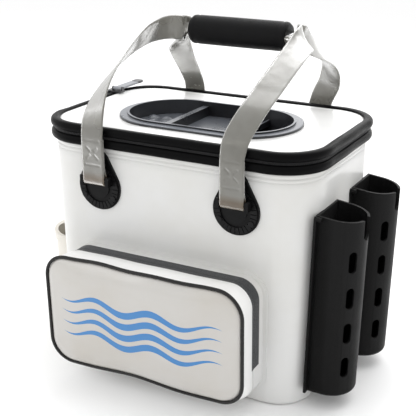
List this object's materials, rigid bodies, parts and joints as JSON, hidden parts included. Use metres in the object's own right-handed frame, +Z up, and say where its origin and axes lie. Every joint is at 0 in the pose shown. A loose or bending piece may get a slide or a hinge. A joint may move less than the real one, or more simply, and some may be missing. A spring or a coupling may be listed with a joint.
{
  "type": "fishing keep bag",
  "caption": "Zipped white welded bag with a lid port, clear carrying straps under a foam grip, a front pocket, rod holders and a bottle holder.",
  "frame": {"origin": "centre of the flat bottom of the bag's body", "axes": "+X to the right along the bag's length, -Y out of the front with the pocket, +Z up"},
  "size_m": [0.4612, 0.3017, 0.43],
  "materials": {
    "white_sheet": "glossy welded sheet",
    "floor_board": "matt stiff board",
    "black_binding": "woven binding over a cord",
    "grey_tape": "woven zip tape",
    "black_plastic": "satin moulded plastic",
    "black_rubber": "moulded rubber",
    "grip_foam": "smooth closed-cell foam",
    "clear_strap": "smoky clear soft plastic",
    "grey_tab": "satin cord tab",
    "steel": "plated"
  },
  "bodies": {
    "bag": {"base_tray": "white_sheet", "floor_board": "floor_board", "body_walls": "white_sheet", "body_binding": "black_binding", "body_zip_tape": "grey_tape", "hinge_leaf_body": "black_binding", "front_left_lug": "black_rubber", "front_right_lug": "black_rubber", "back_left_lug": "black_rubber", "back_right_lug": "black_rubber", "lug_backings": "black_plastic", "lug_rivets": "black_rubber", "pocket_base": "white_sheet", "pocket_base_tape": "grey_tape", "rod_holder_front": "black_plastic", "rod_holder_rear": "black_plastic", "holder_rivets": "steel", "side_back": "white_sheet", "side_sleeve": "white_sheet", "side_cup": "white_sheet", "side_rim": "white_sheet"},
    "lid": {"hinge_leaf_lid": "black_binding", "lid_binding": "black_binding", "lid_zip_tape": "grey_tape", "lid_panel": "white_sheet", "port_frame": "black_plastic", "port_ring": "black_plastic", "port_screws": "steel", "port_pin": "steel", "port_spring": "steel"},
    "lid_slider": {"zip_slider": "black_plastic"},
    "lid_pull": {"zip_pull": "grey_tab", "zip_pull_tip": "black_plastic"},
    "flap": {"port_flap": "black_plastic"},
    "front_handle": {"front_strap": "clear_strap", "grip": "grip_foam"},
    "back_handle": {"back_strap": "clear_strap"},
    "pocket_front": {"pocket_gusset": "white_sheet", "pocket_panel": "white_sheet", "pocket_piping": "black_binding", "pocket_gusset_tape": "grey_tape"},
    "pocket_slide": {"pocket_slider": "black_plastic"},
    "pocket_tab": {"pocket_pull": "black_plastic"}
  },
  "joints": [
    {"name": "lid_hinge", "type": "hinge", "parent": "bag", "child": "lid", "pos_m": [0, 0.1162, 0.303], "axis": [-1, 0, 0], "range_deg": [0, 96]},
    {"name": "front_handle_swing", "type": "hinge", "parent": "bag", "child": "front_handle", "pos_m": [0, -0.12019, 0.25174], "axis": [1, 0, 0], "range_deg": [0, 121]},
    {"name": "back_handle_swing", "type": "hinge", "parent": "bag", "child": "back_handle", "pos_m": [0, 0.12019, 0.25174], "axis": [-1, 0, 0], "range_deg": [0, 154]},
    {"name": "lid_zip_slide", "type": "slide", "parent": "lid", "child": "lid_slider", "axis": [0, -1, 0], "range_m": [0, 0.09]},
    {"name": "lid_pull_swing", "type": "hinge", "parent": "lid_slider", "child": "lid_pull", "pos_m": [-0.17, 0.052, 0.3203], "axis": [1, 0, 0], "range_deg": [0, 175]},
    {"name": "port_flap_push", "type": "hinge", "parent": "lid", "child": "flap", "pos_m": [-0.0348, -0.01, 0.2933], "axis": [0, -1, 0], "range_deg": [0, 80], "stiffness_Nm_per_rad": 0.02, "springref_deg": -40.11},
    {"name": "pocket_fold", "type": "hinge", "parent": "bag", "child": "pocket_front", "pos_m": [0, -0.13134, 0.01646], "axis": [1, 0, 0], "range_deg": [0, 38]},
    {"name": "pocket_zip_slide", "type": "slide", "parent": "bag", "child": "pocket_slide", "axis": [0, -0.0206, 0.9998], "range_m": [0, 0.055]},
    {"name": "pocket_pull_swing", "type": "hinge", "parent": "pocket_slide", "child": "pocket_tab", "pos_m": [-0.1329, -0.13252, 0.07345], "axis": [0, 0.9998, 0.0206], "range_deg": [0, 150]}
  ],
  "couplings": [
    {"joint": "front_handle_swing", "follows": "lid_hinge", "ratio": 1.25},
    {"joint": "back_handle_swing", "follows": "lid_hinge", "ratio": 1.6}
  ]
}
